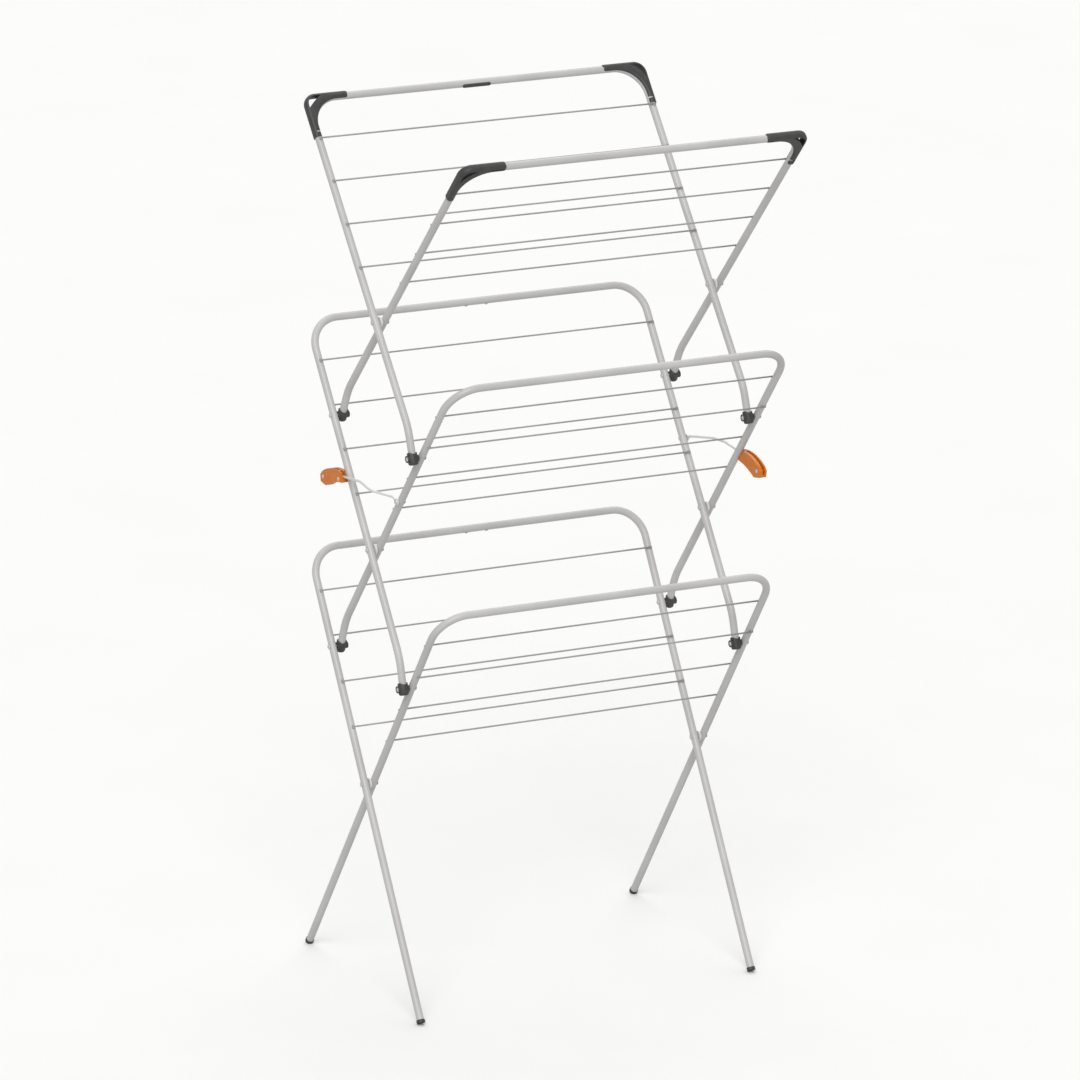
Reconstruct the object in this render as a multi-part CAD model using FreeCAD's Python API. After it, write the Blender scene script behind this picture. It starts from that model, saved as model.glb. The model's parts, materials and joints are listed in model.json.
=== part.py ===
import FreeCAD, Part
import math
import os

# Three-tier folding clothes airer. Six bent-tube frames, each an inverted U with wire rungs, cross in
# pairs. The pairs stand on one another and fold together like lazy tongs.
# Millimetres. +Z up, +X along the rungs, -Y is the front. Origin: middle of the footprint on the floor.

# ---- Frames -------------------------------------------------------------------------------------
LEG_SPACING = 600.0       # between the two leg axes of one frame
TUBE_D = 12.0
TUBE_WALL = 0.8
CORNER_BEND = 50.0        # radius of the tube's axis at the top corners
LOWER_LEAN = 32.0         # degrees, lower legs from the vertical
LEG_ABOVE = 390.3         # crossing bolt to top bar axis, along the leg
LEG_BELOW = 392.6         # crossing bolt to the foot's end, along the leg
ARM = 228.0               # crossing bolt to hinge bolt, on every frame
END_TURN = 18.1           # degrees, bend at the lower end of the middle and upper legs
END_RUN = 48.5            # from that bend's corner to the hinge bolt
END_BEND = 110.0          # radius of the tube's axis in that bend
END_STUB = 5.5            # tube past the hinge bolt

# ---- Rungs --------------------------------------------------------------------------------------
RUNG_D = 2.7
FIRST_RUNG = 71.2         # top bar axis to first rung, along the leg
RUNG_PITCH = 75.5
RUNG_SINK = 0.15          # how far the weld sinks a rung into the tube
RUNG_OVER = 3.0           # rung past the leg axis, at each end
OUTER_RUNG_REAR = 247.5   # crossing bolt to the rung on the outer face, frames with a rear top bar
OUTER_RUNG_FRONT = 260.0  # the same, frames with a front top bar

# ---- Bolts, spacers and hinge caps --------------------------------------------------------------
BOLT_D = 5.0
BOLT_CLEAR = 0.1          # radial, bolt in every hole it turns in
PLAY = 0.1                # sideways play at each face that turns
HEAD_D = 8.6
HEAD_T = 2.6
CROSS_HEAD_T = 1.8        # the flatter head of a crossing bolt
END_D = 8.0               # the riveted end of a bolt
END_T = 2.2
SPACER_D = 17.0
SPACER_T = 2.9
CAP_WALL = 2.0
CAP_FIT = 0.05            # radial, moulding on tube
CAP_UP = 9.5              # above the hinge bolt
CAP_DOWN = 10.3           # below it
CAP_ROUND = 3.5           # edge radius round its closed bottom
SCALLOP_R = 9.0           # dip in the cap's mouth, front and back, that leaves two prongs
SCALLOP_DEPTH = 2.4
BOSS_D = 11.4
BOSS_OUT = 2.6            # boss beyond the cap's wall, on the side away from the other tube
HEAD_SEAT = 2.0           # depth that a head sits in the boss

# ---- Feet ---------------------------------------------------------------------------------------
FOOT_WALL = 0.8
FOOT_BASE = 2.0
FOOT_CUP = 5.4
FOOT_PLUG = 14.0          # stem inside the tube
FOOT_FLAT = 0.8           # height worn off the lowest edge to make the flat that rests

# ---- Corner mouldings of the two top frames -----------------------------------------------------
CORNER_WALL = 1.1         # over the tube
CORNER_ROUND = 5.2        # edge radius along the outside
CORNER_BAR = 71.0         # reach along the bar, from the leg axis
CORNER_LEG = 68.0         # reach down the leg, from the bar axis
CORNER_END = 4.4          # round at the bar end
CORNER_IN = 5.2           # inner edge inside the tube's axis
CORNER_R = 20.0
RIM = 4.6                 # width of the strut outside the window
WEB = 3.2                 # wall kept between the tube and the window
HOOK = 8.0                # the finger at the leg end that grips the tube
SLIT = 2.8                # cut above the finger

# ---- Small fittings -----------------------------------------------------------------------------
PAD_L = 50.0
PAD_T = 1.8
PAD_W = 6.2               # across, seen square on
PAD_TURN = 66.0           # degrees round the bar, from square to the frame's inner face to the pad's middle
BUFFER_D = 4.4
BUFFER_H = 1.0
BUFFER_PITCH = 36.7

# ---- Locks --------------------------------------------------------------------------------------
EYE_ALONG = 119.5         # middle crossing bolt to the lock's eye, along the leg
ROD_D = 4.0
ROD_RISE = 4.0            # rod above the eye
ROD_CLEAR = 1.6           # rod to the side of the leg that it passes
ROD_BOW = 2.8             # how far the rod bows out beyond its place at the handle
# The rod's bends, from the eye: towards the handle, upwards.
ROD_NECK = (13.0, 4.8)
ROD_OUT = (50.0, 7.5)
ROD_BACK = (92.0, 10.5)
EYE_D = 11.0
EYE_T = 2.6
LOCK_BOLT_D = 4.0
LOCK_END_T = 0.8          # its closed end, nearly flush with the leg
HANDLE_OUT = 5.0          # handle's outer face beyond the rod's axis
HANDLE_IN = 8.5           # its inner face, towards the leg
SLOT_CLEAR = 0.3
JAW_GAP = 0.3             # jaw to the back of the leg
PIN_D = 6.5               # heads of the two pins
PIN_HEAD = 2.0
PIN_SHANK = 3.0
PIN_PROUD = 0.6
PIN_BLIND = 2.5           # wall left beyond the pin nearer the leg, which shows on the outside only
# The handle's side outline from the point where the rod passes the leg: backwards, upwards.
HANDLE_TOP = ((4.0, 5.8), (34.0, 5.6), (69.5, -8.5))
HANDLE_TAIL = ((75.0, -14.5), (73.0, -25.5), (56.0, -28.0))
HANDLE_UNDER = ((31.0, -16.2), (2.0, -9.5))
HANDLE_SLOT = ((19.7, -7.5), (56.0, -20.0), (80.0, -22.0))    # floor of the slot behind the first pin
HANDLE_PINS = ((13.2, -6.1), (65.5, -15.9))
ROD_END = (27.0, -3.6)
RIGHT_SWING = 2.9         # degrees, the right lock hangs this much higher than the left one

# ---- Worked out from the sizes above ------------------------------------------------------------
TUBE_R = TUBE_D / 2
HALF = LEG_SPACING / 2
SIDE_GAP = SPACER_T + 2 * PLAY                    # between the surfaces of neighbouring legs
PLANE_STEP = TUBE_D + SIDE_GAP                    # between the axes of neighbouring legs
HOLE_R = BOLT_D / 2 + BOLT_CLEAR
RUNG_OFF = TUBE_R + RUNG_D / 2 - RUNG_SINK
TURN = math.radians(END_TURN)
BEND_CORNER = math.sqrt(ARM ** 2 - (END_RUN * math.sin(TURN)) ** 2) - END_RUN * math.cos(TURN)
LEAN_STEP = math.degrees(math.asin(END_RUN * math.sin(TURN) / ARM))
LEAN = {"lower": LOWER_LEAN, "middle": LOWER_LEAN + LEAN_STEP, "upper": LOWER_LEAN + 2 * LEAN_STEP}
FOOT_R = TUBE_R + CAP_FIT + FOOT_WALL


def along(length, lean):
    """Height and reach of a point that lies length away on a line leaning by lean degrees."""
    return length * math.cos(math.radians(lean)), length * math.sin(math.radians(lean))


FOOT_HEIGHT, FOOT_REACH = along(LEG_BELOW, LOWER_LEAN)
CROSSING = {"lower": FOOT_HEIGHT + FOOT_R * math.sin(math.radians(LOWER_LEAN)) - FOOT_FLAT}
CROSSING["middle"] = CROSSING["lower"] + 2 * along(ARM, LEAN["lower"])[0]
CROSSING["upper"] = CROSSING["middle"] + 2 * along(ARM, LEAN["middle"])[0]

X_AXIS = FreeCAD.Vector(1, 0, 0)
Y_AXIS = FreeCAD.Vector(0, 1, 0)
Z_AXIS = FreeCAD.Vector(0, 0, 1)

os.makedirs("parts", exist_ok=True)


def V(x, y, z):
    return FreeCAD.Vector(x, y, z)


def rod(start, end, radius):
    """A solid cylinder from one point to another."""
    return Part.makeCylinder(radius, (end - start).Length, start, end - start)


def x_rod(x0, x1, radius, y=0.0, z=0.0):
    return rod(V(x0, y, z), V(x1, y, z), radius)


def save(name, solids):
    """Write one piece, of one or more solids."""
    shape = solids[0] if len(solids) == 1 else Part.makeCompound(solids)
    shape.exportStep("parts/" + name + ".step")


def place(shape, tier, side):
    """Stand a piece drawn flat (x across, z up the leg, z = 0 at the crossing bolt) in its frame's plane.
    A rear frame's top bar leans to +Y. A front frame is the same thing turned half round."""
    tilt = FreeCAD.Placement(V(-PLANE_STEP / 2, 0, CROSSING[tier]), FreeCAD.Rotation(X_AXIS, -LEAN[tier]))
    turn = FreeCAD.Placement(V(0, 0, 0), FreeCAD.Rotation(Z_AXIS, 180 if side == "front" else 0))
    placed = shape.copy()
    placed.Placement = turn.multiply(tilt).multiply(shape.Placement)
    return placed


def place_end(shape, x):
    """Put a piece drawn upright about the hinge bolt onto a bent lower end, in the frame's flat drawing."""
    placed = shape.copy()
    turn = FreeCAD.Placement(end_point(x, END_RUN), FreeCAD.Rotation(X_AXIS, END_TURN))
    placed.Placement = turn.multiply(shape.Placement)
    return placed


def end_point(x, run):
    """A point on the bent lower end's axis, run millimetres past the bend's corner."""
    return V(x, run * math.sin(TURN), -BEND_CORNER - run * math.cos(TURN))


def round_path(points, radii):
    """Straight runs through the points, with a tangent arc of the given radius at each inner one."""
    edges = []
    start = points[0]
    for before, corner, after, radius in zip(points, points[1:], points[2:], radii):
        d_in = (corner - before).normalize()
        d_out = (after - corner).normalize()
        half_turn = d_in.getAngle(d_out) / 2
        back = radius * math.tan(half_turn)
        to_centre = (d_out - d_in).normalize()
        middle = corner + to_centre * (radius / math.cos(half_turn) - radius)
        arc_start = corner - d_in * back
        arc_end = corner + d_out * back
        edges.append(Part.makeLine(start, arc_start))
        edges.append(Part.Arc(arc_start, middle, arc_end).toShape())
        start = arc_end
    edges.append(Part.makeLine(start, points[-1]))
    return Part.Wire(edges)


def sweep(path, radius):
    """A round bar along a path of lines and tangent arcs."""
    first = path.OrderedEdges[0]
    start = first.firstVertex().Point
    section = Part.Wire(Part.makeCircle(radius, start, first.tangentAt(first.FirstParameter)))
    return path.makePipeShell([section], True, False)


def frame_path(tier):
    """The tube's axis, from the left leg's lower end over the top bar to the right leg's."""
    if tier == "lower":
        ends = [V(HALF, 0, -(LEG_BELOW - FOOT_BASE))]
    else:
        ends = [V(HALF, 0, -BEND_CORNER), end_point(HALF, END_RUN + END_STUB)]
    right = [V(HALF, 0, LEG_ABOVE)] + ends
    left = [V(-p.x, p.y, p.z) for p in reversed(right)]
    end_bends = [END_BEND] * (len(ends) - 1)
    return round_path(left + right, end_bends + [CORNER_BEND] * 2 + end_bends)


FRAME_PATH = {tier: frame_path(tier) for tier in LEAN}
FRAME_BAR = {tier: sweep(FRAME_PATH[tier], TUBE_R + CAP_FIT) for tier in LEAN}


# ---- Tube frames: one bent tube each, drilled for the bolts that pass through it --------------------
def frame_tube(tier):
    tube = sweep(FRAME_PATH[tier], TUBE_R).cut(sweep(FRAME_PATH[tier], TUBE_R - TUBE_WALL))
    heights = [0.0]
    if tier != "upper":
        heights.append(ARM)
    holes = []
    for x in (-HALF, HALF):
        for z in heights:
            holes.append(x_rod(x - TUBE_D, x + TUBE_D, HOLE_R, 0, z))
        if tier != "lower":
            end = end_point(x, END_RUN)
            holes.append(x_rod(x - TUBE_D, x + TUBE_D, HOLE_R, end.y, end.z))
    if tier == "middle":
        holes.append(x_rod(HALF - TUBE_D, HALF + TUBE_D, LOCK_BOLT_D / 2, 0, EYE_ALONG))
    return tube.cut(holes)


# ---- Rungs: straight wires welded to the leg faces --------------------------------------------------
def rungs(tier, side):
    """Four wires on the inner face of the V. On the lower and middle frames the second one is on the outer
    face, out of the way of the leg that folds up beside it."""
    outer = OUTER_RUNG_REAR if side == "rear" else OUTER_RUNG_FRONT
    wires = []
    for k in range(4):
        height = LEG_ABOVE - FIRST_RUNG - k * RUNG_PITCH
        offset = -RUNG_OFF
        if k == 1 and tier != "upper":
            height = outer
            offset = RUNG_OFF
        wires.append(x_rod(-HALF - RUNG_OVER, HALF + RUNG_OVER, RUNG_D / 2, offset, height))
    return wires


# ---- Hinge end caps: moulded cups on the bent lower ends, with a cross boss round the hinge bolt ---------
def end_cap():
    outer_r = TUBE_R + CAP_WALL
    cup = Part.makeCylinder(outer_r, CAP_UP + CAP_DOWN, V(0, 0, -CAP_DOWN))
    cup = cup.makeFillet(CAP_ROUND, [edge for edge in cup.Edges if edge.BoundBox.ZMax < -CAP_DOWN + 0.01])
    boss_left = -(outer_r + BOSS_OUT)
    boss_right = TUBE_R + SIDE_GAP - PLAY
    cap = cup.fuse(x_rod(boss_left, boss_right, BOSS_D / 2))
    bore = Part.makeCylinder(TUBE_R + CAP_FIT, 2 * CAP_UP + END_STUB, V(0, 0, -END_STUB))
    seat = x_rod(boss_left - HEAD_SEAT, boss_left + HEAD_SEAT, HEAD_D / 2 + PLAY)
    hole = x_rod(2 * boss_left, 2 * boss_right, HOLE_R)
    dip_z = CAP_UP + SCALLOP_R - SCALLOP_DEPTH
    scallop = Part.makeCylinder(SCALLOP_R, 4 * outer_r, V(0, -2 * outer_r, dip_z), Y_AXIS)
    return cap.cut(bore).cut(seat).cut(hole).cut(scallop).removeSplitter()


# ---- Hinge bolts: one through each cap and the leg beside it, riveted over at the far end ---------------
def hinge_bolt():
    head_in = -(TUBE_R + CAP_WALL + BOSS_OUT) + HEAD_SEAT
    far_side = PLANE_STEP + TUBE_R + PLAY
    head = Part.makeCylinder(HEAD_D / 2, HEAD_T, V(head_in - HEAD_T, 0, 0), X_AXIS)
    shank = x_rod(head_in, far_side + END_T, BOLT_D / 2)
    end = x_rod(far_side, far_side + END_T, END_D / 2)
    return head.fuse([shank, end]).removeSplitter()


# ---- Crossing bolts and spacers: they join the two frames of a tier at mid-leg --------------------------
def crossing_bolt(x, z):
    left = x - PLANE_STEP / 2 - TUBE_R - PLAY
    right = x + PLANE_STEP / 2 + TUBE_R + PLAY
    head = x_rod(left - CROSS_HEAD_T, left, HEAD_D / 2, 0, z)
    shank = x_rod(left, right + END_T, BOLT_D / 2, 0, z)
    return head.fuse([shank, x_rod(right, right + END_T, END_D / 2, 0, z)]).removeSplitter()


def spacer(x, z):
    ring = x_rod(x - SPACER_T / 2, x + SPACER_T / 2, SPACER_D / 2, 0, z)
    return ring.cut(x_rod(x - SPACER_T, x + SPACER_T, BOLT_D / 2, 0, z))


# ---- Feet: short caps with a stem up inside the lower leg ends, worn flat where they rest ---------------
def foot(x):
    seat = V(x, 0, FOOT_BASE - LEG_BELOW)
    cup = Part.makeCylinder(FOOT_R, FOOT_CUP, V(x, 0, -LEG_BELOW))
    stem = Part.makeCylinder(TUBE_R - TUBE_WALL - CAP_FIT, FOOT_PLUG, seat)
    return cup.cut(Part.makeCylinder(TUBE_R + CAP_FIT, FOOT_CUP, seat)).fuse(stem).removeSplitter()


# ---- Corner mouldings: braced covers over the bends of the two top frames -------------------------------
def corner_outline(out, radius, bar, leg):
    """Open outline on the outside of a right-hand corner: two straight edges and the round between them."""
    x1 = HALF + out
    z1 = LEG_ABOVE + out
    d = radius * (1 - math.sqrt(0.5))
    return [
        Part.makeLine(V(HALF - bar, 0, z1), V(x1 - radius, 0, z1)),
        Part.Arc(V(x1 - radius, 0, z1), V(x1 - d, 0, z1 - d), V(x1, 0, z1 - radius)).toShape(),
        Part.makeLine(V(x1, 0, z1 - radius), V(x1, 0, LEG_ABOVE - leg)),
    ]


def quarter(x, z, radius, turn):
    """A quarter round about a point of the flat drawing, from turn degrees to turn + 90."""
    ends = [math.radians(turn + a) for a in (0, 45, 90)]
    return Part.Arc(*[V(x + radius * math.cos(a), 0, z + radius * math.sin(a)) for a in ends]).toShape()


def corner(side_x):
    half_t = TUBE_R + CORNER_WALL
    cx = HALF - CORNER_BEND
    cz = LEG_ABOVE - CORNER_BEND
    inner_r = CORNER_BEND - CORNER_IN
    foot_z = LEG_ABOVE - CORNER_LEG
    start_x = HALF - CORNER_BAR
    round_x = start_x + CORNER_END
    inner = [
        Part.makeLine(V(HALF + half_t, 0, foot_z), V(cx + inner_r, 0, foot_z)),
        Part.makeLine(V(cx + inner_r, 0, foot_z), V(cx + inner_r, 0, cz)),
        quarter(cx, cz, inner_r, 0),
        Part.makeLine(V(cx, 0, cz + inner_r), V(round_x, 0, cz + inner_r)),
        quarter(round_x, cz + inner_r + CORNER_END, CORNER_END, 180),
        Part.makeLine(V(start_x, 0, cz + inner_r + CORNER_END), V(start_x, 0, LEG_ABOVE + half_t - CORNER_END)),
        quarter(round_x, LEG_ABOVE + half_t - CORNER_END, CORNER_END, 90),
    ]
    outer = corner_outline(half_t, CORNER_R, CORNER_BAR - CORNER_END, CORNER_LEG)
    plate = Part.Face(Part.Wire(Part.sortEdges(outer + inner)[0]))
    plate.translate(V(0, -half_t, 0))
    body = plate.extrude(V(0, 2 * half_t, 0))
    # The long edges on the outside of the bend are rounded.
    outside = []
    for edge in body.Edges:
        p = edge.valueAt((edge.FirstParameter + edge.LastParameter) / 2)
        if abs(abs(p.y) - half_t) > 0.01 or p.z < foot_z + 0.01:
            continue
        beyond = math.hypot(max(p.x - cx, 0), max(p.z - cz, 0))
        if beyond > CORNER_BEND or p.x < cx and p.z > LEG_ABOVE:
            outside.append(edge)
    body = body.makeFillet(CORNER_ROUND, outside)
    rim_out = half_t - RIM
    window_edges = corner_outline(rim_out, CORNER_R - RIM, CORNER_BEND, CORNER_BEND)
    window_edges.append(Part.makeLine(V(HALF + rim_out, 0, cz), V(cx, 0, cz)))
    window_edges.append(Part.makeLine(V(cx, 0, cz), V(cx, 0, LEG_ABOVE + rim_out)))
    window = Part.Face(Part.Wire(window_edges))
    window.translate(V(0, -2 * half_t, 0))
    window = window.extrude(V(0, 4 * half_t, 0))
    kept = Part.makeCylinder(CORNER_BEND + TUBE_R + WEB, 8 * half_t, V(cx, -4 * half_t, cz), Y_AXIS)
    slit_x = HALF + TUBE_R / 2 - CORNER_BEND
    slit = Part.makeBox(CORNER_BEND, 4 * half_t, SLIT, V(slit_x, -2 * half_t, foot_z + HOOK))
    body = body.cut([window.cut(kept), slit, FRAME_BAR["upper"]])
    if side_x < 0:
        body = body.mirror(V(0, 0, 0), X_AXIS)
    return body


# ---- Bar pad and buffers: small mouldings on the top bars ------------------------------------------------
def bar_pad():
    """A curved pad stuck to the bar where the other top bar meets it when folded."""
    outer_r = TUBE_R + PAD_T
    reach = PAD_L / 2 - PAD_W / 2
    shape = Part.makeBox(2 * reach, PAD_W, 2 * outer_r, V(-reach, -PAD_W / 2, 0))
    for x in (-reach, reach):
        shape = shape.fuse(Part.makeCylinder(PAD_W / 2, 2 * outer_r, V(x, 0, 0)))
    shape = shape.common(x_rod(-PAD_L, PAD_L, outer_r)).cut(x_rod(-PAD_L, PAD_L, TUBE_R + CAP_FIT))
    shape = shape.removeSplitter()
    shape.rotate(V(0, 0, 0), X_AXIS, 90 + PAD_TURN)
    shape.translate(V(0, 0, LEG_ABOVE))
    return shape


def buffers():
    tops = []
    for x in (-BUFFER_PITCH / 2, BUFFER_PITCH / 2):
        stud = Part.makeCylinder(BUFFER_D / 2, TUBE_R + BUFFER_H, V(x, 0, LEG_ABOVE - TUBE_R - BUFFER_H))
        tops.append(stud.cut(FRAME_BAR["lower"]).Solids[0])
    return tops


# ---- Locks: a rod hung on one leg, with a handle whose jaw hooks behind the leg that crosses it ---------
# Drawn in place for the left-hand side: the eye is on the middle front frame's left leg and the rod passes
# the middle rear frame's left leg. The right-hand one is the same thing turned half round.
LEG_IN = -HALF + PLANE_STEP / 2                   # the leg that carries the eye
LEG_OUT = -HALF - PLANE_STEP / 2                  # the leg that the jaw hooks
EYE_Z = CROSSING["middle"] + along(EYE_ALONG, LEAN["middle"])[0]
EYE_Y = -along(EYE_ALONG, LEAN["middle"])[1]
ROD_Z = EYE_Z + ROD_RISE
ROD_X = LEG_OUT - TUBE_R - ROD_CLEAR - ROD_D / 2
PASS_Y = (ROD_Z - CROSSING["middle"]) * math.tan(math.radians(LEAN["middle"]))
EYE_X1 = LEG_IN - TUBE_R - PLAY                   # the eye's face on the leg
EYE_X0 = EYE_X1 - EYE_T


def outline_point(offset):
    return V(0, PASS_Y + offset[0], ROD_Z + offset[1])


def swung(shape, swing):
    """Turn a lock's piece about its eye."""
    turned = shape.copy()
    turned.rotate(V(0, EYE_Y, EYE_Z), X_AXIS, swing)
    return turned


def lock_rod():
    eye_x = (EYE_X0 + EYE_X1) / 2
    path = round_path([
        V(eye_x, EYE_Y, EYE_Z),
        V(eye_x, EYE_Y + ROD_NECK[0], EYE_Z + ROD_NECK[1]),
        V(ROD_X - ROD_BOW, EYE_Y + ROD_OUT[0], EYE_Z + ROD_OUT[1]),
        V(ROD_X, EYE_Y + ROD_BACK[0], EYE_Z + ROD_BACK[1]),
        V(ROD_X, PASS_Y + ROD_END[0], ROD_Z + ROD_END[1]),
    ], [10.0, 24.0, 20.0])
    bar = sweep(path, ROD_D / 2)
    eye = x_rod(EYE_X0, EYE_X1, EYE_D / 2, EYE_Y, EYE_Z)
    over = Part.makeBox(ROD_D, 4 * EYE_D, 2 * EYE_D, V(EYE_X1, EYE_Y - 2 * EYE_D, EYE_Z - EYE_D))
    hole = x_rod(EYE_X0 - ROD_D, EYE_X1 + ROD_D, LOCK_BOLT_D / 2 + BOLT_CLEAR, EYE_Y, EYE_Z)
    head_room = x_rod(EYE_X0 - ROD_D, EYE_X0, EYE_D / 2, EYE_Y, EYE_Z)
    return bar.fuse(eye).cut([over, hole, head_room]).removeSplitter()


def pin(offset, blind):
    p = outline_point(offset)
    x0 = ROD_X - HANDLE_OUT - PIN_PROUD
    x1 = ROD_X + HANDLE_IN + PIN_PROUD
    heads = [x_rod(x0, x0 + PIN_HEAD, PIN_D / 2, p.y, p.z)]
    if blind:
        x1 = ROD_X + HANDLE_IN - PIN_BLIND
    else:
        heads.append(x_rod(x1 - PIN_HEAD, x1, PIN_D / 2, p.y, p.z))
    return x_rod(x0, x1, PIN_SHANK / 2, p.y, p.z).fuse(heads).removeSplitter()


def lock_pins():
    return [pin(HANDLE_PINS[0], True), pin(HANDLE_PINS[1], False)]


def lock_handle(swing):
    top = [outline_point(p) for p in HANDLE_TOP]
    tail = [outline_point(p) for p in HANDLE_TAIL]
    under = [outline_point(p) for p in HANDLE_UNDER]
    edges = [
        Part.Arc(top[0], top[1], top[2]).toShape(),
        Part.makeLine(top[2], tail[0]),
        Part.makeLine(tail[0], tail[1]),
        Part.makeLine(tail[1], tail[2]),
        Part.Arc(tail[2], under[0], under[1]).toShape(),
        Part.makeLine(under[1], top[0]),
    ]
    side = Part.Face(Part.Wire(edges))
    side.translate(V(ROD_X - HANDLE_OUT, 0, 0))
    body = side.extrude(V(HANDLE_OUT + HANDLE_IN, 0, 0))
    # The groove that takes the rod follows it and opens upwards. Behind the first pin it runs deep, out
    # through the tail.
    slot_r = ROD_D / 2 + SLOT_CLEAR
    rise = ROD_Z + ROD_END[1] - EYE_Z - ROD_BACK[1]
    slope = math.degrees(math.atan2(rise, PASS_Y + ROD_END[0] - EYE_Y - ROD_BACK[0]))
    groove = Part.makeBox(2 * slot_r, HANDLE_TAIL[0][0], EYE_D, V(-slot_r, -EYE_D, -slot_r))
    groove.Placement = FreeCAD.Placement(V(ROD_X, PASS_Y + ROD_END[0], ROD_Z + ROD_END[1]),
                                         FreeCAD.Rotation(X_AXIS, slope)).multiply(
        FreeCAD.Placement(V(0, EYE_D - ROD_END[0] - TUBE_D, 0), FreeCAD.Rotation()))
    floor = [outline_point(p) for p in HANDLE_SLOT]
    above = [V(0, p.y, ROD_Z + EYE_D) for p in (floor[-1], floor[0])]
    deep = Part.Face(Part.makePolygon(floor + above + floor[:1]))
    deep.translate(V(ROD_X - slot_r, 0, 0))
    deep = deep.extrude(V(2 * slot_r, 0, 0))
    # The jaw: everything level with the hooked leg and in front of its back face is taken away.
    clear = LEG_OUT - TUBE_R - JAW_GAP
    lean = FreeCAD.Rotation(X_AXIS, -LEAN["middle"])
    jaw = Part.makeBox(2 * TUBE_D, 4 * TUBE_D, 8 * TUBE_D)
    jaw.Placement = FreeCAD.Placement(V(clear, PASS_Y, ROD_Z), lean).multiply(
        FreeCAD.Placement(V(0, TUBE_R + JAW_GAP - 4 * TUBE_D, -4 * TUBE_D), FreeCAD.Rotation()))
    body = swung(body.cut([groove, deep] + lock_pins()), swing)
    return body.cut(jaw).removeSplitter()


def lock_bolt():
    far = LEG_IN + TUBE_R + PLAY
    head_x = EYE_X0 - PLAY
    head = x_rod(head_x - HEAD_T, head_x, HEAD_D / 2, EYE_Y, EYE_Z)
    shank = x_rod(head_x, far + LOCK_END_T, LOCK_BOLT_D / 2, EYE_Y, EYE_Z)
    return head.fuse([shank, x_rod(far, far + LOCK_END_T, END_D / 2, EYE_Y, EYE_Z)]).removeSplitter()


# ---- Writing the pieces ------------------------------------------------------------------------------
FLOOR = Part.makeBox(8 * HALF, 8 * HALF, 4 * TUBE_D, V(-4 * HALF, -4 * HALF, -4 * TUBE_D))

for tier in ("lower", "middle", "upper"):
    for side in ("rear", "front"):
        name = tier + "_" + side
        save(name + "_frame", [place(frame_tube(tier), tier, side)])
        save(name + "_rungs", [place(wire, tier, side) for wire in rungs(tier, side)])
        # A front frame is turned half round, so the leg drawn on the left stands on the right.
        drawn_side = {"left": -HALF, "right": HALF} if side == "rear" else {"left": HALF, "right": -HALF}
        for hand, x in drawn_side.items():
            if tier == "lower":
                save(name + "_" + hand + "_foot", [place(foot(x), tier, side).cut(FLOOR)])
            else:
                save(name + "_" + hand + "_end_cap", [place(place_end(end_cap(), x), tier, side)])
            if tier == "upper":
                save(name + "_" + hand + "_corner", [place(corner(x), tier, side)])
        if tier != "lower":
            save(name + "_hinge_bolts",
                 [place(place_end(hinge_bolt(), x), tier, side) for x in drawn_side.values()])
    save(tier + "_crossing_bolts", [crossing_bolt(x, CROSSING[tier]) for x in (-HALF, HALF)])
    save(tier + "_crossing_spacers", [spacer(x, CROSSING[tier]) for x in (-HALF, HALF)])

save("upper_rear_bar_pad", [place(bar_pad(), "upper", "rear")])
for tier in ("lower", "middle"):
    save(tier + "_rear_buffers", [place(stud, tier, "rear") for stud in buffers()])

for hand, turn, swing in (("left", 0, 0), ("right", 180, RIGHT_SWING)):
    pieces = {
        "rod": [swung(lock_rod(), swing)],
        "handle": [lock_handle(swing)],
        "pins": [swung(solid, swing) for solid in lock_pins()],
        "bolt": [lock_bolt()],
    }
    for piece, solids in pieces.items():
        for solid in solids:
            solid.rotate(V(0, 0, 0), Z_AXIS, turn)
        save(hand + "_lock_" + piece, solids)
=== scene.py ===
import json
import math

import bmesh
import bpy
from mathutils import Matrix, Vector

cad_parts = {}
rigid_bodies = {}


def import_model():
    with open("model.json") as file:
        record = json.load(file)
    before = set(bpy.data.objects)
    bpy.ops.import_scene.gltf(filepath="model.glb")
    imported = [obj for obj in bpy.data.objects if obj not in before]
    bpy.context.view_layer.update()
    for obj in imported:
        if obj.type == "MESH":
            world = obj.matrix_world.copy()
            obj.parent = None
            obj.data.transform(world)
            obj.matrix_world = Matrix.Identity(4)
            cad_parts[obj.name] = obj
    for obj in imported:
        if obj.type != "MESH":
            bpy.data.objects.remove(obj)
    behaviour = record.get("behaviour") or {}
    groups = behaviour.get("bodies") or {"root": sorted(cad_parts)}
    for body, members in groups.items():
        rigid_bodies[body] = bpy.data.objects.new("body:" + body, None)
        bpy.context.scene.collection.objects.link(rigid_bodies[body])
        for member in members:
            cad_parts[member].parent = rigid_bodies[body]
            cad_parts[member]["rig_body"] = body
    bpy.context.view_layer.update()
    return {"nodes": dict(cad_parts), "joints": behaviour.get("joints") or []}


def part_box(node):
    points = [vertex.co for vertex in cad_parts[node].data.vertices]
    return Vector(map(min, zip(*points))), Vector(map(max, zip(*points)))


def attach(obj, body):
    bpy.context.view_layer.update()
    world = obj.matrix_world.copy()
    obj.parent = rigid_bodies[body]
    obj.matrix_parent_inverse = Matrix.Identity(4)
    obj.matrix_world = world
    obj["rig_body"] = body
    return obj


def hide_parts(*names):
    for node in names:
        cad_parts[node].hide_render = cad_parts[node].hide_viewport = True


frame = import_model()


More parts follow.
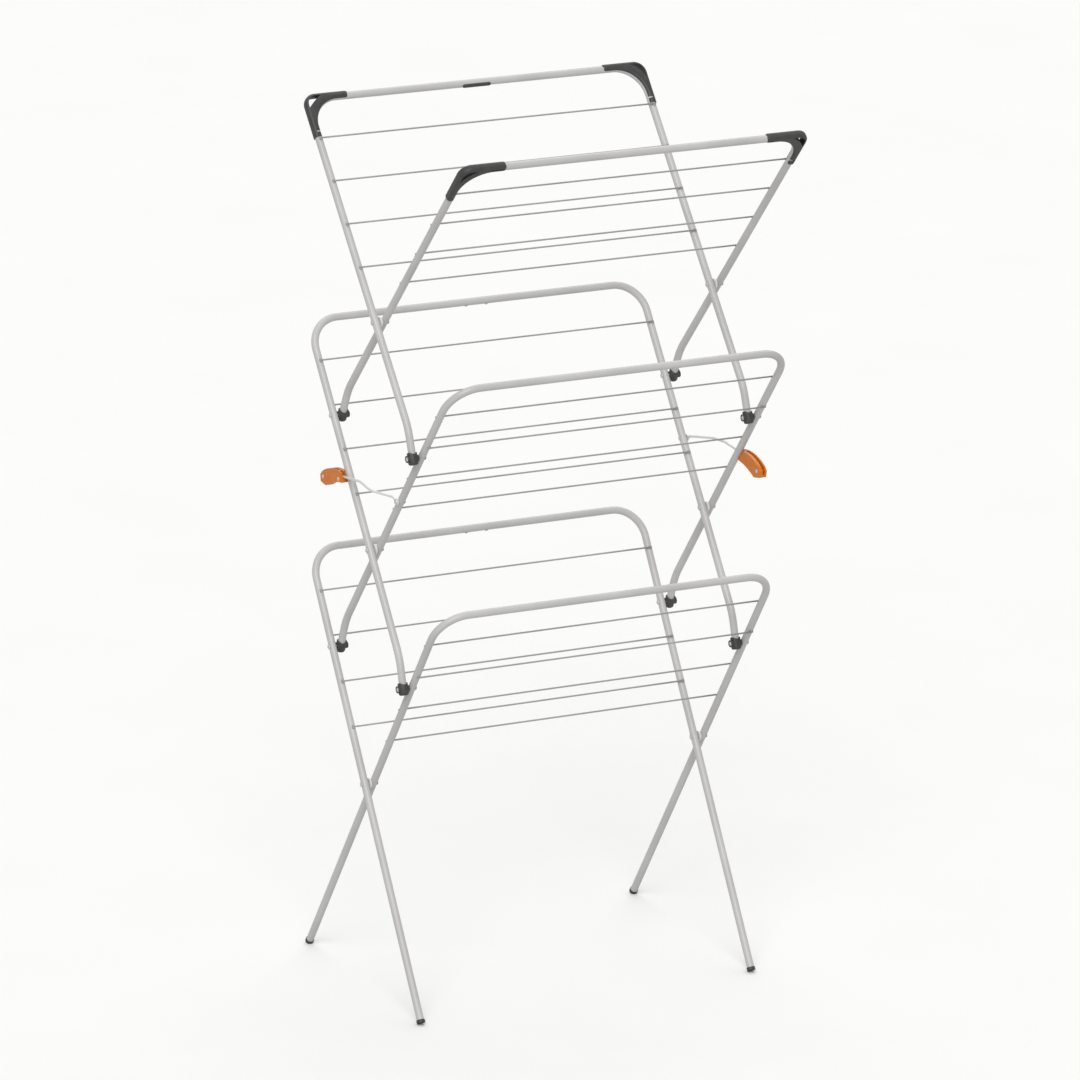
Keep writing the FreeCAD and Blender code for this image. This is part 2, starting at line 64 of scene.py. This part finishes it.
# ---- Tube frames --------------------------------------------------------------------------------
# Six inverted Us of welded round steel tube, bent cold at the corners and, on the middle and upper
# tiers, again near the lower ends. Each is powder coated a light warm grey and bolted to its pair.
MM = 0.001
TUBE_D = 12 * MM
CORNER_BEND = 50 * MM
END_TURN = math.radians(18.1)
END_RUN = 48.5 * MM
END_STUB = 5.5 * MM
END_BEND = 110 * MM
SIDES = ("rear", "front")
TIERS = ("lower", "middle", "upper")

pivot = {joint["name"]: Vector(joint["pos_m"]) for joint in frame["joints"]}
crossing = {"lower": pivot["fold"], "middle": pivot["middle_crossing"], "upper": pivot["upper_crossing"]}
hinge = {"middle": pivot["lower_to_middle_hinge"], "upper": pivot["middle_to_upper_hinge"]}


def lean_of(low, high):
    """Angle from the vertical of the line from one bolt up to another, seen from the side."""
    return math.atan2(abs(high.y - low.y), high.z - low.z)


lean = {
    "lower": lean_of(crossing["lower"], hinge["middle"]),
    "middle": lean_of(crossing["middle"], hinge["upper"]),
}
lean["upper"] = 2 * lean["middle"] - lean["lower"]
arm = (hinge["middle"] - Vector((hinge["middle"].x, crossing["lower"].y, crossing["lower"].z))).length


def stand(tier, side):
    """Moves a piece drawn flat, z = 0 at the crossing bolt, into its frame's leaning plane."""
    low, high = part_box(tier + "_rear_frame")
    offset = Vector(((low.x + high.x) / 2, 0, crossing[tier].z))
    placed = Matrix.Translation(offset) @ Matrix.Rotation(-lean[tier], 4, "X")
    return Matrix.Rotation(math.pi, 4, "Z") @ placed if side == "front" else placed


def leg_x(tier):
    """Half the distance between a frame's two leg axes."""
    low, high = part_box(tier + "_rear_frame")
    return (high.x - low.x - TUBE_D) / 2


def bar_height(tier):
    """From the crossing bolt to the top bar's axis, along the leg."""
    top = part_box(tier + "_rear_frame")[1].z - TUBE_D / 2
    return (top - crossing[tier].z) / math.cos(lean[tier])


def lin(hex_colour):
    """An sRGB hex colour as a linear RGBA value."""
    channels = [int(hex_colour[i:i + 2], 16) / 255 for i in (1, 3, 5)]
    linear = [c / 12.92 if c <= 0.04045 else ((c + 0.055) / 1.055) ** 2.4 for c in channels]
    return (*linear, 1.0)


def add(tree, kind, settings=None, **inputs):
    """Adds a node: settings are its own properties, inputs are values or sockets to link to. An input is
    given by its label, with _ for a space, or by i and its number."""
    node = tree.nodes.new(kind)
    for key, value in (settings or {}).items():
        setattr(node, key, value)
    for key, value in inputs.items():
        numbered = key[0] == "i" and key[1:].isdigit()
        socket = node.inputs[int(key[1:]) if numbered else key.replace("_", " ")]
        if isinstance(value, bpy.types.NodeSocket):
            tree.links.new(value, socket)
        else:
            socket.default_value = value
    return node


def new_material(name):
    """An empty node material, its shader and output joined. Gives material, tree, shader and position."""
    material = bpy.data.materials.new(name)
    material.use_nodes = True
    tree = material.node_tree
    tree.nodes.clear()
    shader = add(tree, "ShaderNodeBsdfPrincipled")
    add(tree, "ShaderNodeOutputMaterial", Surface=shader.outputs["BSDF"])
    position = add(tree, "ShaderNodeTexCoord").outputs["Object"]
    return material, tree, shader, position


def blend_colour(tree, factor, dark, light):
    """Runs from one colour to the other as the factor goes from 0 to 1."""
    ramp = add(tree, "ShaderNodeValToRGB", Fac=factor)
    ramp.color_ramp.elements[0].color = lin(dark)
    ramp.color_ramp.elements[1].color = lin(light)
    return ramp


def powder_coat(name, dark, light, grain_mm, rough):
    """Polyester powder, sprayed dry and baked: an even satin skin with a faint orange-peel ripple."""
    material, tree, shader, position = new_material(name)
    cloud = add(tree, "ShaderNodeTexNoise", Vector=position, Scale=1 / 0.09, Detail=3.0, Roughness=0.5)
    ramp = blend_colour(tree, cloud.outputs["Fac"], dark, light)
    ramp.color_ramp.elements[0].position = 0.35
    ramp.color_ramp.elements[1].position = 0.65
    tree.links.new(ramp.outputs["Color"], shader.inputs["Base Color"])
    peel = add(tree, "ShaderNodeTexNoise", Vector=position, Scale=1 / (grain_mm * MM), Detail=2.0)
    bump = add(tree, "ShaderNodeBump", Height=peel.outputs["Fac"], Strength=0.25, Distance=0.05 * MM)
    tree.links.new(bump.outputs["Normal"], shader.inputs["Normal"])
    streak = add(tree, "ShaderNodeMapRange", Value=cloud.outputs["Fac"],
                 To_Min=rough - 0.05, To_Max=rough + 0.07)
    tree.links.new(streak.outputs["Result"], shader.inputs["Roughness"])
    shader.inputs["Coat Weight"].default_value = 0.15
    shader.inputs["Coat Roughness"].default_value = 0.25
    return material


def new_tree(name, sockets):
    """A geometry tree with a geometry input and the named inputs, each given as (kind, default)."""
    tree = bpy.data.node_groups.new(name, "GeometryNodeTree")
    tree.interface.new_socket("Geometry", in_out="INPUT", socket_type="NodeSocketGeometry")
    tree.interface.new_socket("Geometry", in_out="OUTPUT", socket_type="NodeSocketGeometry")
    for label, (kind, default) in sockets.items():
        socket = tree.interface.new_socket(label, in_out="INPUT", socket_type=kind)
        socket.default_value = default
    return tree, tree.nodes.new("NodeGroupInput").outputs


def end_tree(tree, geometry, material):
    """Closes a geometry tree: real geometry and one material."""
    real = add(tree, "GeometryNodeRealizeInstances", Geometry=geometry)
    coated = add(tree, "GeometryNodeSetMaterial", Geometry=real.outputs["Geometry"])
    coated.inputs["Material"].default_value = material
    output = tree.nodes.new("NodeGroupOutput")
    tree.links.new(coated.outputs["Geometry"], output.inputs["Geometry"])


def grow(name, mesh, tree, values, place=None):
    """Runs a geometry tree on a mesh and keeps the result as a plain mesh object."""
    seed = bpy.data.objects.new(name + "_seed", mesh)
    bpy.context.scene.collection.objects.link(seed)
    modifier = seed.modifiers.new("tree", "NODES")
    modifier.node_group = tree
    identifiers = {s.name: s.identifier for s in tree.interface.items_tree if s.in_out == "INPUT"}
    for label, value in values.items():
        modifier[identifiers[label]] = value
    depsgraph = bpy.context.evaluated_depsgraph_get()
    made = bpy.data.meshes.new_from_object(seed.evaluated_get(depsgraph))
    bpy.data.objects.remove(seed)
    made.name = name
    if place:
        made.transform(place)
    piece = bpy.data.objects.new(name, made)
    bpy.context.scene.collection.objects.link(piece)
    return piece


def hang(piece, body, slot, *nodes):
    """Lets a piece ride on its body in place of the CAD nodes that it stands for."""
    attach(piece, body)
    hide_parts(*nodes)


tube_coat = powder_coat("powder_coated_steel_tube", "#c0bfbd", "#c9c8c6", 1.3, 0.33)

tube_tree, given = new_tree("bent_tube", {
    "Tube diameter": ("NodeSocketFloat", TUBE_D),
    "Bend steps": ("NodeSocketInt", 14),
    "Facets round": ("NodeSocketInt", 32),
})
axis_curve = add(tube_tree, "GeometryNodeMeshToCurve", Mesh=given["Geometry"])
bend_radius = add(tube_tree, "GeometryNodeInputNamedAttribute", {"data_type": "FLOAT"}, Name="bend_radius")
rounded = add(tube_tree, "GeometryNodeFilletCurve", {"mode": "POLY"}, Curve=axis_curve.outputs["Curve"],
              Count=given["Bend steps"], Radius=bend_radius.outputs["Attribute"])
half_diameter = add(tube_tree, "ShaderNodeMath", {"operation": "MULTIPLY"},
                    i0=given["Tube diameter"], i1=0.5)
section = add(tube_tree, "GeometryNodeCurvePrimitiveCircle", Resolution=given["Facets round"],
              Radius=half_diameter.outputs["Value"])
walls = add(tube_tree, "GeometryNodeCurveToMesh", Curve=rounded.outputs["Curve"],
            Profile_Curve=section.outputs["Curve"], Fill_Caps=True)
smooth = add(tube_tree, "GeometryNodeSetShadeSmooth", Geometry=walls.outputs["Mesh"])
end_tree(tube_tree, smooth.outputs["Geometry"], tube_coat)


def tube_axis(tier):
    """The corner points of a frame's tube, left foot to right foot, as (point, bend radius)."""
    x = leg_x(tier)
    if tier == "lower":
        foot_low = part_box("lower_rear_frame")[0].z
        foot = (crossing[tier].z - foot_low) / math.cos(lean[tier]) - TUBE_D / 2 * math.tan(lean[tier])
        ends = [(Vector((x, 0, -foot)), 0.0)]
    else:
        corner = math.sqrt(arm ** 2 - (END_RUN * math.sin(END_TURN)) ** 2) - END_RUN * math.cos(END_TURN)
        run = END_RUN + END_STUB
        tip = Vector((x, run * math.sin(END_TURN), -corner - run * math.cos(END_TURN)))
        ends = [(Vector((x, 0, -corner)), END_BEND), (tip, 0.0)]
    right = [(Vector((x, 0, bar_height(tier))), CORNER_BEND)] + ends
    left = [(Vector((-p.x, p.y, p.z)), r) for p, r in reversed(right)]
    return left + right


for tier in TIERS:
    for side in SIDES:
        points = tube_axis(tier)
        line = bpy.data.meshes.new("tube_axis")
        line.from_pydata([p for p, _ in points], [(i, i + 1) for i in range(len(points) - 1)], [])
        bends = line.attributes.new("bend_radius", "FLOAT", "POINT")
        bends.data.foreach_set("value", [r for _, r in points])
        body = tier + "_" + side
        tube = grow(body + "_tube", line, tube_tree, {"Tube diameter": TUBE_D}, stand(tier, side))
        hang(tube, body, "powder_coated_tube", body + "_frame")


# ---- Rungs --------------------------------------------------------------------------------------
# Straight steel wires laid across both legs and spot welded where they touch. The weld leaves a
# small swollen bead on each side, under the same coat as the tube, and the cut ends are rounded.
RUNG_D = 2.7 * MM
BEAD = 2.1 * MM
BEAD_SINK = 0.36          # a bead's middle from the wire's axis towards the tube, in wire diameters
BEAD_SPREAD = 0.55        # and above or below it
RUNG_FACETS = 14

# The tube's powder coat again, painted a darker grey as shade on the thin wires, their weld beads and the
# buffer studs.
shade_darkened_wire_coat = powder_coat("powder_coated_steel_wire_shade_darkened", "#9e9d9b", "#a9a8a6", 0.9, 0.34)

rung_tree, given = new_tree("rungs", {
    "Rung length": ("NodeSocketFloat", 0.6),
    "Rung diameter": ("NodeSocketFloat", RUNG_D),
    "Facets round": ("NodeSocketInt", RUNG_FACETS),
})
rung_r = add(rung_tree, "ShaderNodeMath", {"operation": "MULTIPLY"},
             i0=given["Rung diameter"], i1=0.5).outputs[0]
wire_length = add(rung_tree, "ShaderNodeMath", {"operation": "SUBTRACT"},
                  i0=given["Rung length"], i1=given["Rung diameter"]).outputs[0]
wire = add(rung_tree, "GeometryNodeMeshCylinder", Vertices=given["Facets round"], Side_Segments=6,
           Radius=rung_r, Depth=wire_length)
end_ball = add(rung_tree, "GeometryNodeMeshUVSphere", Segments=given["Facets round"], Rings=8,
               Radius=rung_r)
half_wire = add(rung_tree, "ShaderNodeMath", {"operation": "MULTIPLY"}, i0=wire_length, i1=0.5).outputs[0]
both_ends = add(rung_tree, "GeometryNodeMeshLine", {"mode": "END_POINTS"}, Count=2)
for socket, sign in (("Start Location", -1.0), ("Offset", 1.0)):
    reach = add(rung_tree, "ShaderNodeMath", {"operation": "MULTIPLY"}, i0=half_wire, i1=sign).outputs[0]
    spot = add(rung_tree, "ShaderNodeCombineXYZ", Z=reach)
    rung_tree.links.new(spot.outputs["Vector"], both_ends.inputs[socket])
balls = add(rung_tree, "GeometryNodeInstanceOnPoints", Points=both_ends.outputs["Mesh"],
            Instance=end_ball.outputs["Mesh"])
one_rung = add(rung_tree, "GeometryNodeJoinGeometry")
rung_tree.links.new(wire.outputs["Mesh"], one_rung.inputs["Geometry"])
rung_tree.links.new(balls.outputs["Instances"], one_rung.inputs["Geometry"])
laid = add(rung_tree, "GeometryNodeInstanceOnPoints", Points=given["Geometry"],
           Instance=one_rung.outputs["Geometry"], Rotation=(0.0, math.pi / 2, 0.0))
rung_smooth = add(rung_tree, "GeometryNodeSetShadeSmooth", Geometry=laid.outputs["Instances"])
end_tree(rung_tree, rung_smooth.outputs["Geometry"], shade_darkened_wire_coat)

bead_tree, given = new_tree("weld_beads", {"Bead radius": ("NodeSocketFloat", BEAD)})
bead = add(bead_tree, "GeometryNodeMeshUVSphere", Segments=12, Rings=8, Radius=given["Bead radius"])
beads = add(bead_tree, "GeometryNodeInstanceOnPoints", Points=given["Geometry"],
            Instance=bead.outputs["Mesh"], Scale=(1.35, 0.75, 0.9))
bead_smooth = add(bead_tree, "GeometryNodeSetShadeSmooth", Geometry=beads.outputs["Instances"])
end_tree(bead_tree, bead_smooth.outputs["Geometry"], shade_darkened_wire_coat)


def point_mesh(places):
    """A mesh of loose points, for a tree to set something on."""
    mesh = bpy.data.meshes.new("places")
    mesh.from_pydata(places, [], [])
    return mesh


def solids_of(node):
    """The middle of the box round each separate solid of a CAD node."""
    mesh = frame["nodes"][node].data.copy()
    soup = bmesh.new()
    soup.from_mesh(mesh)
    bmesh.ops.remove_doubles(soup, verts=soup.verts, dist=1e-6)
    middles = []
    left = set(soup.verts)
    while left:
        group = {left.pop()}
        edge_of = list(group)
        while edge_of:
            vert = edge_of.pop()
            for edge in vert.link_edges:
                other = edge.other_vert(vert)
                if other in left:
                    left.discard(other)
                    group.add(other)
                    edge_of.append(other)
        low = Vector([min(v.co[i] for v in group) for i in range(3)])
        high = Vector([max(v.co[i] for v in group) for i in range(3)])
        middles.append((low + high) / 2)
    soup.free()
    bpy.data.meshes.remove(mesh)
    return sorted(middles, key=lambda p: (round(p.x, 4), p.z))


def on_body(piece, node, slot):
    """Puts a piece on the body that its CAD node belongs to, in that node's place."""
    hang(piece, frame["nodes"][node]["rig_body"], slot, node)


for tier in TIERS:
    for side in SIDES:
        body = tier + "_" + side
        node = body + "_rungs"
        low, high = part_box(node)
        middles = solids_of(node)
        wires = grow(body + "_wires", point_mesh(middles), rung_tree, {"Rung length": high.x - low.x})
        hang(wires, body, "coated_wire", node)
        place = stand(tier, side)
        spots = []
        for middle in middles:
            flat = place.inverted() @ middle
            for x in (-leg_x(tier), leg_x(tier)):
                for up in (-BEAD_SPREAD, BEAD_SPREAD):
                    touch = flat.y - math.copysign(RUNG_D * BEAD_SINK, flat.y)
                    spots.append(Vector((x, touch, flat.z + up * RUNG_D)))
        welds = grow(body + "_weld_beads", point_mesh(spots), bead_tree, {"Bead radius": BEAD}, place)
        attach(welds, body)


# ---- Dark mouldings -----------------------------------------------------------------------------
# Injection-moulded polypropylene in dark grey: hinge caps on the bent leg ends, feet, the braced
# corners of the two top frames and the pad on the rear top bar. Every outer edge is slightly rounded.
CAP_EDGE = 0.45 * MM
CORNER_EDGE = 0.6 * MM


def moulded(name, colour_dark, colour_light, grain_mm, rough, depth_mm):
    """A pigmented plastic from a spark-eroded mould: a fine even grain and a soft, low sheen."""
    material, tree, shader, position = new_material(name)
    cloud = add(tree, "ShaderNodeTexNoise", Vector=position, Scale=1 / 0.012, Detail=4.0)
    ramp = blend_colour(tree, cloud.outputs["Fac"], colour_dark, colour_light)
    ramp.color_ramp.elements[0].position = 0.3
    ramp.color_ramp.elements[1].position = 0.7
    edge = add(tree, "ShaderNodeNewGeometry")
    rubbed = add(tree, "ShaderNodeMapRange", Value=edge.outputs["Pointiness"], From_Min=0.53, From_Max=0.62,
                 To_Min=0.0, To_Max=0.28)
    worn = add(tree, "ShaderNodeMix", {"data_type": "RGBA"}, i0=rubbed.outputs["Result"],
               i6=ramp.outputs["Color"], i7=lin(colour_light))
    tree.links.new(worn.outputs[2], shader.inputs["Base Color"])
    grain = add(tree, "ShaderNodeTexNoise", Vector=position, Scale=1 / (grain_mm * MM), Detail=3.0)
    bump = add(tree, "ShaderNodeBump", Height=grain.outputs["Fac"], Strength=0.35, Distance=depth_mm * MM)
    tree.links.new(bump.outputs["Normal"], shader.inputs["Normal"])
    sheen = add(tree, "ShaderNodeMapRange", Value=cloud.outputs["Fac"],
                To_Min=rough - 0.06, To_Max=rough + 0.08)
    tree.links.new(sheen.outputs["Result"], shader.inputs["Roughness"])
    shader.inputs["IOR"].default_value = 1.49
    return material


def softened(name, node, width, segments, material, angle=0.5):
    """A copy of a CAD solid with its sharp edges rounded, as a mould leaves them."""
    mesh = frame["nodes"][node].data.copy()
    soup = bmesh.new()
    soup.from_mesh(mesh)
    bmesh.ops.remove_doubles(soup, verts=soup.verts, dist=2e-6)
    bmesh.ops.dissolve_limit(soup, angle_limit=math.radians(1.0), verts=soup.verts, edges=soup.edges)
    soup.to_mesh(mesh)
    soup.free()
    mesh.materials.clear()
    mesh.materials.append(material)
    piece = bpy.data.objects.new(name + "_raw", mesh)
    bpy.context.scene.collection.objects.link(piece)
    bevel = piece.modifiers.new("edges", "BEVEL")
    bevel.width = width
    bevel.segments = segments
    bevel.limit_method = "ANGLE"
    bevel.angle_limit = angle
    bevel.use_clamp_overlap = True
    bevel.harden_normals = False
    made = bpy.data.meshes.new_from_object(piece.evaluated_get(bpy.context.evaluated_depsgraph_get()))
    bpy.data.objects.remove(piece)
    made.name = name
    made.shade_smooth()
    finished = bpy.data.objects.new(name, made)
    bpy.context.scene.collection.objects.link(finished)
    made.set_sharp_from_angle(angle=math.radians(38))
    return finished


dark_plastic = moulded("moulded_polypropylene_dark_grey", "#3a3a3a", "#454545", 0.7, 0.46, 0.05)

for node in sorted(frame["nodes"]):
    if node.endswith(("_end_cap", "_foot", "_pad")):
        piece = softened(node + "_moulding", node, CAP_EDGE, 2, dark_plastic)
    elif node.endswith("_corner"):
        piece = softened(node + "_moulding", node, CORNER_EDGE, 3, dark_plastic)
    else:
        continue
    on_body(piece, node, "dark_moulding")


# ---- Bolts and spacers --------------------------------------------------------------------------
# Zinc-plated rivet bolts: a low domed head on one side, the shank through both tubes and a peened
# end on the other. White nylon discs on the crossing bolts keep the two tubes apart.
plating, tree, shader, position = new_material("zinc_plated_steel_bolt")
patina = add(tree, "ShaderNodeTexNoise", Vector=position, Scale=1 / 0.004, Detail=4.0)
ramp = blend_colour(tree, patina.outputs["Fac"], "#cbcccd", "#e4e4e2")
tree.links.new(ramp.outputs["Color"], shader.inputs["Base Color"])
dulled = add(tree, "ShaderNodeMapRange", Value=patina.outputs["Fac"], To_Min=0.28, To_Max=0.42)
tree.links.new(dulled.outputs["Result"], shader.inputs["Roughness"])
shader.inputs["Metallic"].default_value = 0.6

white_plastic = moulded("moulded_nylon_white", "#d8d7d2", "#e6e5e1", 0.8, 0.42, 0.03)

bolt_tree, given = new_tree("rivet_bolt", {
    "Head radius": ("NodeSocketFloat", 0.005),
    "Head thickness": ("NodeSocketFloat", 0.0026),
    "End thickness": ("NodeSocketFloat", 0.0022),
    "Length": ("NodeSocketFloat", 0.04),
    "Shank radius": ("NodeSocketFloat", 0.0025),
    "End radius": ("NodeSocketFloat", 0.004),
})


def dome(radius, thickness, sign):
    """A button: a flat-faced disc with its outer side domed, standing at z = 0 and rising by sign."""
    ball = add(bolt_tree, "GeometryNodeMeshUVSphere", Segments=28, Rings=14, Radius=radius)
    height = add(bolt_tree, "ShaderNodeMath", {"operation": "DIVIDE"}, i0=thickness, i1=radius).outputs[0]
    squash = add(bolt_tree, "ShaderNodeCombineXYZ", X=1.0, Y=1.0, Z=height)
    flat = add(bolt_tree, "GeometryNodeTransform", Geometry=ball.outputs["Mesh"],
               Scale=squash.outputs["Vector"])
    place = add(bolt_tree, "GeometryNodeInputPosition")
    parts = add(bolt_tree, "ShaderNodeSeparateXYZ", Vector=place.outputs["Position"])
    keep = "MAXIMUM" if sign > 0 else "MINIMUM"
    cut = add(bolt_tree, "ShaderNodeMath", {"operation": keep}, i0=parts.outputs["Z"], i1=0.0)
    kept = add(bolt_tree, "ShaderNodeCombineXYZ", X=parts.outputs["X"], Y=parts.outputs["Y"],
               Z=cut.outputs[0])
    made = add(bolt_tree, "GeometryNodeSetPosition", Geometry=flat.outputs["Geometry"],
               Position=kept.outputs["Vector"])
    merged = add(bolt_tree, "GeometryNodeMergeByDistance", Geometry=made.outputs["Geometry"], Distance=1e-6)
    return merged.outputs["Geometry"]


head = dome(given["Head radius"], given["Head thickness"], -1)
peened = dome(given["End radius"], given["End thickness"], 1)
lift = add(bolt_tree, "ShaderNodeCombineXYZ", Z=given["Length"])
peened_up = add(bolt_tree, "GeometryNodeTransform", Geometry=peened, Translation=lift.outputs["Vector"])
shank = add(bolt_tree, "GeometryNodeMeshCylinder", Vertices=24, Radius=given["Shank radius"],
            Depth=given["Length"])
half_length = add(bolt_tree, "ShaderNodeMath", {"operation": "MULTIPLY"}, i0=given["Length"], i1=0.5)
mid = add(bolt_tree, "ShaderNodeCombineXYZ", Z=half_length.outputs["Value"])
shank_up = add(bolt_tree, "GeometryNodeTransform", Geometry=shank.outputs["Mesh"],
               Translation=mid.outputs["Vector"])
bolt_whole = add(bolt_tree, "GeometryNodeJoinGeometry")
for part in (head, peened_up.outputs["Geometry"], shank_up.outputs["Geometry"]):
    bolt_tree.links.new(part, bolt_whole.inputs["Geometry"])
facing = add(bolt_tree, "GeometryNodeInputNamedAttribute", {"data_type": "FLOAT_VECTOR"}, Name="turn")
set_bolts = add(bolt_tree, "GeometryNodeInstanceOnPoints", Points=given["Geometry"],
                Instance=bolt_whole.outputs["Geometry"], Rotation=facing.outputs["Attribute"])
bolt_smooth = add(bolt_tree, "GeometryNodeSetShadeSmooth", Geometry=set_bolts.outputs["Instances"])
end_tree(bolt_tree, bolt_smooth.outputs["Geometry"], plating)


def bolts(node, head, end, head_side):
    """Bolts in place of a CAD node's, every one along X. The head and the end are each (radius, thickness),
    and head_side is -1 where the heads are towards -X."""
    middles = solids_of(node)
    low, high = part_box(node)
    whole = 2 * (min(p.x for p in middles) - low.x)
    points = point_mesh([p + Vector((head_side * (whole / 2 - head[1]), 0, 0)) for p in middles])
    turn = points.attributes.new("turn", "FLOAT_VECTOR", "POINT")
    for item in turn.data:
        item.vector = (0.0, -head_side * math.pi / 2, 0.0)
    piece = grow(node + "_set", points, bolt_tree, {
        "Head radius": head[0], "Head thickness": head[1], "Length": whole - head[1] - end[1],
        "End radius": end[0], "End thickness": end[1]})
    on_body(piece, node, "plated_bolt")


HEAD = (4.3 * MM, 2.6 * MM)
FLAT_HEAD = (4.3 * MM, 1.8 * MM)
PEENED = (4.0 * MM, 2.2 * MM)
FLUSH_END = (4.0 * MM, 0.8 * MM)

for tier in TIERS:
    bolts(tier + "_crossing_bolts", FLAT_HEAD, PEENED, -1)
    node = tier + "_crossing_spacers"
    on_body(softened(node + "_discs", node, 0.5 * MM, 3, white_plastic), node, "white_moulding")
    if tier != "lower":
        for side in SIDES:
            bolts(tier + "_" + side + "_hinge_bolts", HEAD, PEENED, -1 if side == "rear" else 1)

for tier in ("lower", "middle"):
    node = tier + "_rear_buffers"
    # The buffer studs are coated like the tube; the darker grey of the wire coat on them is painted shade.
    on_body(softened(node + "_studs", node, 0.4 * MM, 2, shade_darkened_wire_coat), node, "coated_wire")


# ---- Locks --------------------------------------------------------------------------------------
# On each side a plated steel rod hangs on a bolt in one leg. Its far end is pinned between the cheeks
# of an orange nylon handle whose jaw hooks behind the leg that crosses, and keeps the tower open.
orange_plastic = moulded("moulded_nylon_orange", "#d27006", "#de7e0d", 0.7, 0.40, 0.04)

rod_plating, tree, shader, position = new_material("zinc_plated_steel_rod")
drawn = add(tree, "ShaderNodeTexNoise", Vector=position, Scale=1 / 0.003, Detail=3.0)
ramp = blend_colour(tree, drawn.outputs["Fac"], "#dcdcda", "#f0f0ee")
tree.links.new(ramp.outputs["Color"], shader.inputs["Base Color"])
rod_rough = add(tree, "ShaderNodeMapRange", Value=drawn.outputs["Fac"], To_Min=0.34, To_Max=0.46)
tree.links.new(rod_rough.outputs["Result"], shader.inputs["Roughness"])
shader.inputs["Metallic"].default_value = 0.35

PANEL_RIM = 1.3 * MM
PANEL_DEPTH = 0.4 * MM
FLAT = 0.01 * MM          # how far a face may stand off and still count as level


def panelled(piece):
    """Sinks the middle of a handle's two cheeks a little, which leaves a rim round each and its pins."""
    soup = bmesh.new()
    soup.from_mesh(piece.data)
    soup.normal_update()
    for face_x in (min(v.co.x for v in soup.verts), max(v.co.x for v in soup.verts)):
        square_on = [f for f in soup.faces if abs(f.normal.x) > 0.999]
        cheek = [f for f in square_on if abs(f.calc_center_median().x - face_x) < FLAT]
        bmesh.ops.inset_region(soup, faces=cheek, thickness=PANEL_RIM, depth=-PANEL_DEPTH,
                               use_even_offset=True)
    soup.to_mesh(piece.data)
    soup.free()
    return piece


for hand in ("left", "right"):
    looks = {
        "handle": (orange_plastic, "orange_moulding", 0.9 * MM),
        "pins": (plating, "plated_bolt", 0.5 * MM),
        "rod": (rod_plating, "plated_rod", 0.35 * MM),
    }
    for part, (material, slot, edge) in looks.items():
        node = hand + "_lock_" + part
        piece = softened(node + "_piece", node, edge, 3, material)
        on_body(panelled(piece) if part == "handle" else piece, node, slot)
    bolts(hand + "_lock_bolt", HEAD, FLUSH_END, -1 if hand == "left" else 1)


# ---- Floor, light and camera --------------------------------------------------------------------
# A plain pale floor that runs into the background, two broad soft lights and a bright even room.
floor_coat, tree, shader, position = new_material("pale_studio_floor")
mottle = add(tree, "ShaderNodeTexNoise", Vector=position, Scale=3.0, Detail=2.0)
ramp = blend_colour(tree, mottle.outputs["Fac"], "#f4f4f3", "#f8f8f7")
seen = add(tree, "ShaderNodeLightPath")
bounce = add(tree, "ShaderNodeMix", {"data_type": "RGBA"}, i0=seen.outputs["Is Camera Ray"],
             i6=lin("#cfcfce"), i7=ramp.outputs["Color"])
tree.links.new(bounce.outputs[2], shader.inputs["Base Color"])
shader.inputs["Roughness"].default_value = 0.8
shader.inputs["Specular IOR Level"].default_value = 0.2

FLOOR_REACH = 30.0
floor_mesh = bpy.data.meshes.new("floor")
floor_mesh.from_pydata([
    (-FLOOR_REACH, -FLOOR_REACH, 0), (FLOOR_REACH, -FLOOR_REACH, 0),
    (FLOOR_REACH, FLOOR_REACH, 0), (-FLOOR_REACH, FLOOR_REACH, 0),
], [], [(0, 1, 2, 3)])
floor_mesh.materials.append(floor_coat)
floor = bpy.data.objects.new("floor", floor_mesh)
bpy.context.scene.collection.objects.link(floor)

world = bpy.data.worlds.new("studio")
world.use_nodes = True
world.node_tree.nodes["Background"].inputs["Color"].default_value = lin("#ffffff")
world.node_tree.nodes["Background"].inputs["Strength"].default_value = 0.5
bpy.context.scene.world = world


def soft_light(name, place, strength, spread):
    """A broad even light that shines from the direction of place, its edges spread over so many degrees."""
    light = bpy.data.lights.new(name, "SUN")
    light.energy = strength
    light.angle = math.radians(spread)
    lamp = bpy.data.objects.new(name, light)
    lamp.location = place
    lamp.rotation_euler = (-Vector(place)).to_track_quat("-Z", "Y").to_euler()
    bpy.context.scene.collection.objects.link(lamp)


soft_light("key_light", (-2.4, -3.4, 3.9), 1.5, 40)
soft_light("back_light", (1.8, 2.6, 3.8), 0.95, 60)
bpy.context.scene.view_settings.view_transform = "Standard"

CAMERA_AZIMUTH = math.radians(-29.093)
CAMERA_ELEVATION = math.radians(16.7073)
CAMERA_ROLL = math.radians(1.6803)
CAMERA_PLACE = Vector((-6.13574, -11.02061, 4.48829))
back = Vector((
    math.sin(CAMERA_AZIMUTH) * math.cos(CAMERA_ELEVATION),
    -math.cos(CAMERA_AZIMUTH) * math.cos(CAMERA_ELEVATION),
    math.sin(CAMERA_ELEVATION),
))
level_right = Vector((math.cos(CAMERA_AZIMUTH), math.sin(CAMERA_AZIMUTH), 0))
level_up = back.cross(level_right)
right = level_right * math.cos(CAMERA_ROLL) + level_up * math.sin(CAMERA_ROLL)
up = level_up * math.cos(CAMERA_ROLL) - level_right * math.sin(CAMERA_ROLL)
lens = bpy.data.cameras.new("camera")
lens.sensor_width = 36
lens.lens = 276.59
lens.clip_end = 200
camera = bpy.data.objects.new("camera", lens)
camera.matrix_world = Matrix.Translation(CAMERA_PLACE) @ Matrix((right, up, back)).transposed().to_4x4()
bpy.context.scene.collection.objects.link(camera)
bpy.context.scene.camera = camera
